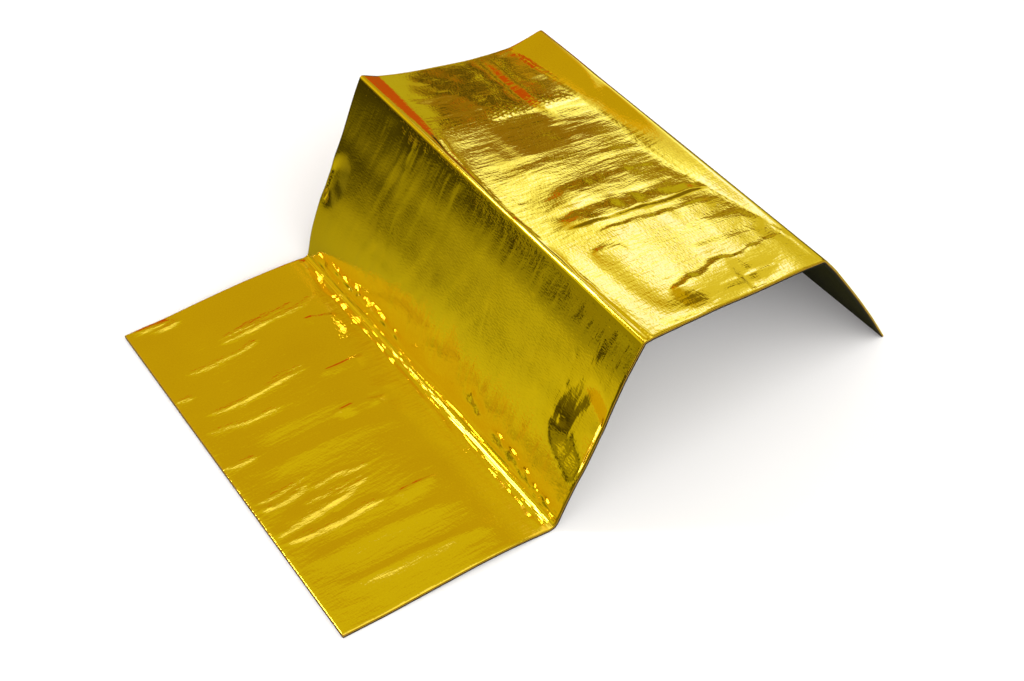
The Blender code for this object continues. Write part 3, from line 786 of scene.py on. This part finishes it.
sheet = bpy.data.objects.new("foil_cloth", sheet_mesh())
scene.collection.objects.link(sheet)
sheet.data.materials.append(gold_material())
sheet.data.materials.append(black_material("black_back", (0.002, 0.002, 0.002), 0.7))
# the dark colour of the cut edge, also used as painted shade on the flat edge's rim
sheet.data.materials.append(black_material("cut_edge_and_rim_shade", (0.16, 0.085, 0.004), 0.45))
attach(sheet, "root")
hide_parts("foil_sheet")


# ---------------------------------------------------------------- the studio
def plain(name, colour, rough):
    material = bpy.data.materials.new(name)
    material.use_nodes = True
    shader = material.node_tree.nodes["Principled BSDF"]
    shader.inputs["Base Color"].default_value = rgb(*colour)
    shader.inputs["Roughness"].default_value = rough
    shader.inputs["Specular IOR Level"].default_value = 0.0
    return material


def floor_plane(name, z, material):
    mesh = bpy.data.meshes.new(name)
    s = 6.0
    mesh.from_pydata([(-s, -s, z), (s, -s, z), (s, s, z), (-s, s, z)], [], [(0, 1, 2, 3)])
    o = bpy.data.objects.new(name, mesh)
    scene.collection.objects.link(o)
    mesh.materials.append(material)
    return o


floor = floor_plane("floor", -0.0002, plain("floor", (0.86, 0.86, 0.86), 0.9))
floor.visible_glossy = False


def ground_material():
    """What the gold mirrors of the floor: painted light round the table's middle and painted shade further out."""
    material = bpy.data.materials.new("ground")
    material.use_nodes = True
    g = Nodes(material.node_tree)
    shader = material.node_tree.nodes["Principled BSDF"]
    shader.inputs["Roughness"].default_value = 1.0
    shader.inputs["Specular IOR Level"].default_value = 0.0
    place = g.new("ShaderNodeTexCoord").outputs["Object"]

    def ramp(value, table):
        node = g.new("ShaderNodeValToRGB")
        lo, hi = table[0][0], table[-1][0]
        g.link(g.math("DIVIDE", g.math("SUBTRACT", value, lo), hi - lo), node.inputs[0])
        elements = node.color_ramp.elements
        elements[0].color = elements[1].color = rgb(*table[0][1])
        for place_, colour in table[1:-1]:
            elements.new((place_ - lo) / (hi - lo)).color = rgb(*colour)
        elements[0].color, elements[len(elements) - 1].color = rgb(*table[0][1]), rgb(*table[-1][1])
        return node.outputs[0]

    dot = g.new("ShaderNodeVectorMath", operation="DOT_PRODUCT")
    g.link(place, dot.inputs[0])
    dot.inputs[1].default_value = GROUND_SIDE
    offset = g.new("ShaderNodeVectorMath", operation="SUBTRACT")
    g.link(place, offset.inputs[0])
    offset.inputs[1].default_value = GROUND_MIDDLE
    length = g.new("ShaderNodeVectorMath", operation="LENGTH")
    g.link(offset.outputs[0], length.inputs[0])
    node = g.new("ShaderNodeMix", data_type="RGBA", blend_type="MULTIPLY")
    node.inputs[0].default_value = 1.0
    g.link(ramp(dot.outputs["Value"], GROUND_ACROSS), node.inputs[6])
    g.link(ramp(length.outputs["Value"], GROUND_AWAY), node.inputs[7])
    g.link(node.outputs[2], shader.inputs["Base Color"])
    return material


# painted light and shade of the floor, as the gold mirrors it: from side to side, and away from the middle
GROUND_SIDE = (0.5, 1.0, 0.0)
GROUND_ACROSS = (
    # metres, colour
    (-0.80, (0.06, 0.055, 0.01)),
    (-0.31, (0.09, 0.08, 0.01)),
    (-0.205, (0.12, 0.11, 0.01)),
    (-0.175, (0.40, 0.39, 0.03)),
    (-0.145, (0.44, 0.43, 0.04)),
    (0.00, (0.40, 0.40, 0.04)),
    (0.10, (0.33, 0.325, 0.03)),
    (0.175, (0.26, 0.25, 0.02)),
    (0.226, (0.20, 0.19, 0.02)),
    (0.28, (0.13, 0.125, 0.01)),
    (0.35, (0.085, 0.08, 0.01)),
    (0.80, (0.06, 0.055, 0.01)),
)
GROUND_MIDDLE = (-0.08, -0.02, 0.0)
GROUND_AWAY = (
    (0.00, (1.0, 1.0, 1.0)),
    (0.22, (1.0, 1.0, 1.0)),
    (0.40, (0.82, 0.82, 0.82)),
    (0.55, (0.66, 0.66, 0.66)),
    (0.85, (0.52, 0.52, 0.52)),
    (3.00, (0.50, 0.50, 0.50)),
)
# a plane seen only in reflections: its colour is painted light and shade of the floor
ground = floor_plane("ground", 0.0, ground_material())
ground.visible_camera = False
ground.visible_diffuse = False
ground.visible_shadow = False
ground.visible_transmission = False

# Soft boxes and dark gaps of the studio, by direction. azimuth 0 is +Y and 90 is +X, in degrees.
PATCHES = (
    # name        azimuth elevation half_az half_el turn  edge  colour
    ("overhead",     0.0,   90.0,  400.0,  27.0,  0.0,   3.0, (1.60, 1.60, 1.60)),
    ("behind",     180.0,   26.0,   80.0,  25.0,  0.0,   8.0, (3.3, 3.25, 3.2)),
    ("right",      105.0,   30.0,   18.0,  22.0,  0.0,   5.0, (2.0, 1.95, 1.9)),
    ("left",      -108.0,   32.0,   18.0,  22.0,  0.0,   5.0, (1.6, 1.55, 1.5)),
    ("left_low",   -67.0,    1.0,   12.0,   6.0,  0.0,   3.0, (0.29, 0.27, 0.02)),
    ("left_mid",   -52.0,   21.5,   19.0,  14.5,  0.0,   3.0, (0.74, 0.70, 0.06)),
    ("red_left",   -48.0,    8.5,    9.0,   0.8,  0.0,   0.6, (0.50, 0.12, 0.01)),
    ("valley_sky", -15.0,   50.0,   34.0,  15.0,  0.0,   6.0, (0.80, 0.62, 0.06)),
    ("gold_sky",    12.0,   41.0,   24.0,  19.0,  0.0,   5.0, (0.585, 0.465, 0.03)),
    ("gold_sky_2",  40.0,   46.0,   14.0,  13.0,  0.0,   5.0, (0.585, 0.465, 0.03)),
    ("near_sky",    22.0,   57.0,   28.0,   5.0,  0.0,   4.0, (0.68, 0.63, 0.05)),
    ("streak_sky",  25.0,   69.0,   60.0,   7.0,  0.0,   3.0, (1.15, 1.15, 1.4)),
    ("warm",        37.0,   40.0,    6.0,   3.0, 35.0,   2.0, (0.76, 0.55, 0.05)),
    ("box_left",   -33.5,   49.5,   17.0,   2.8, 32.0,   1.0, (20.0, 19.5, 26.0)),
    ("box_low",    -34.0,   12.0,    5.0,   4.0,  0.0,   1.2, (9.0, 8.8, 13.2)),
    ("olive",       45.0,   11.0,   14.0,   6.0,  0.0,   1.5, (0.50, 0.44, 0.04)),
    ("brown",       42.0,   21.3,    9.0,   5.5,  0.0,   1.2, (0.31, 0.20, 0.02)),
    ("olive_far",   43.6,   15.4,    4.2,   1.7, 78.0,   0.4, (0.52, 0.50, 0.04)),
    ("dark_far",    41.0,   18.2,    2.3,   0.65, 62.0,  0.3, (0.10, 0.08, 0.01)),
    ("red_gap",     39.9,   20.5,    1.3,   0.32, 34.0,  0.2, (0.56, 0.10, 0.01)),
    ("olive_gap",   39.4,   21.6,    1.3,   0.50, 30.0,  0.2, (0.52, 0.47, 0.03)),
    ("dark_gap",    39.0,   23.0,    1.6,   0.50, 20.0,  0.2, (0.13, 0.10, 0.01)),
    ("gold_gap",    36.5,   27.5,    3.0,   3.0,  0.0,   1.5, (0.50, 0.36, 0.03)),
    ("glow",        55.0,   31.5,    9.5,   9.0,  0.0,   4.0, (0.80, 0.78, 0.30)),
    ("glow_low",    55.3,   19.0,    3.6,   7.0,  0.0,   1.6, (0.70, 0.66, 0.12)),
    ("glow_high",   44.5,   38.5,    7.5,   3.6,  0.0,   2.0, (0.84, 0.83, 0.55)),
    ("key_soft",    47.5,   31.7,    7.0,   6.0,  0.0,   2.0, (1.0, 1.05, 0.8)),
    ("key_mid",     46.8,   30.0,    3.7,   5.4,  0.0,   1.2, (1.30, 1.48, 1.7)),
    ("key",         48.5,   32.4,    2.8,   3.2,  0.0,   1.2, (1.35, 1.55, 6.0)),
    ("red_low",     47.0,    5.5,    3.2,   4.2,  0.0,   0.5, (0.56, 0.10, 0.01)),
    ("red_back",    34.5,   29.5,    4.5,   1.6, -50.0,  0.4, (0.56, 0.10, 0.01)),
    ("red_side",    17.0,   21.0,    9.0,   9.5,  0.0,   0.5, (0.56, 0.10, 0.01)),
)
# What the gold mirrors of the bright walls behind and beside it: gold walls with two boxes and two gaps.
BACK_PATCHES = (
    ("behind_gold", 180.0,  26.0,   93.0,  26.0,  0.0,   8.0, (0.56, 0.46, 0.05)),
    ("back_glow",   180.0,  45.0,   60.0,   5.0,  0.0,   4.0, (0.80, 0.74, 0.25)),
    ("back_box",   -143.0,  30.0,   10.0,   6.0, 12.0,   4.0, (1.10, 1.15, 0.90)),
    ("back_box_2",  141.0,  27.0,   13.0,   6.0,-12.0,   4.0, (1.10, 1.15, 0.90)),
    ("back_gap",   -152.0,  14.0,   16.0,   3.5, 10.0,   4.0, (0.27, 0.21, 0.02)),
    ("back_gap_2",  124.0,   9.0,   12.0,   3.5,-10.0,   4.0, (0.30, 0.22, 0.02)),
)
DARK = (0.22, 0.17, 0.03)


def studio_world():
    world = bpy.data.worlds.new("studio")
    world.use_nodes = True
    tree = world.node_tree
    g = Nodes(tree)
    tree.nodes.clear()
    direction = g.new("ShaderNodeTexCoord").outputs["Generated"]
    xyz = g.new("ShaderNodeSeparateXYZ")
    g.link(direction, xyz.inputs[0])
    x, y, z = xyz.outputs
    deg = 180 / math.pi
    azimuth = g.math("MULTIPLY", g.math("ARCTAN2", x, y), deg)
    elevation = g.math("MULTIPLY", g.math("ARCSINE", z), deg)
    colour = rgb(*DARK)
    path = g.new("ShaderNodeLightPath")
    for name, a, e, half_a, half_e, turn, edge, value in PATCHES + BACK_PATCHES:
        da = g.math("WRAP", g.math("SUBTRACT", azimuth, a), 180.0, -180.0)
        de = g.math("SUBTRACT", elevation, e)
        c, s = math.cos(math.radians(turn)), math.sin(math.radians(turn))
        u = g.math("ADD", g.math("MULTIPLY", da, c), g.math("MULTIPLY", de, s))
        w = g.math("SUBTRACT", g.math("MULTIPLY", de, c), g.math("MULTIPLY", da, s))
        mu = g.math("DIVIDE", g.math("SUBTRACT", half_a + edge / 2, g.math("ABSOLUTE", u)), edge, clamp=True)
        mw = g.math("DIVIDE", g.math("SUBTRACT", half_e + edge / 2, g.math("ABSOLUTE", w)), edge, clamp=True)
        mask = g.math("SMOOTH_MIN", mu, mw, 0.1, clamp=True)
        if name in [row[0] for row in BACK_PATCHES]:
            mask = g.math("MULTIPLY", mask, path.outputs["Is Glossy Ray"])
        colour = g.mix(mask, colour, rgb(*value))
    light = g.new("ShaderNodeBackground")
    g.put(light.inputs["Color"], colour)
    plain_back = g.new("ShaderNodeBackground")
    plain_back.inputs["Color"].default_value = rgb(0.90, 0.90, 0.90)
    camera_ray = path.outputs["Is Camera Ray"]
    mix = g.new("ShaderNodeMixShader")
    g.link(camera_ray, mix.inputs[0])
    g.link(light.outputs[0], mix.inputs[1])
    g.link(plain_back.outputs[0], mix.inputs[2])
    g.link(mix.outputs[0], g.new("ShaderNodeOutputWorld").inputs["Surface"])
    scene.world = world


studio_world()
scene.view_settings.view_transform = "Standard"
scene.view_settings.look = "None"

# ---------------------------------------------------------------- the camera
PITCH, YAW = math.radians(45.64), math.radians(33.64)
camera = bpy.data.objects.new("camera", bpy.data.cameras.new("camera"))
scene.collection.objects.link(camera)
camera.location = (-0.4932375, -0.7486025, 0.91506)
ahead = Vector((math.sin(YAW) * math.cos(PITCH), math.cos(YAW) * math.cos(PITCH), -math.sin(PITCH)))
camera.rotation_euler = ahead.to_track_quat("-Z", "Y").to_euler()
camera.data.sensor_width = 36.0
camera.data.lens = 1829.0 * 36.0 / 1024.0
camera.data.clip_end = 50.0
scene.camera = camera

bpy.context.view_layer.update()
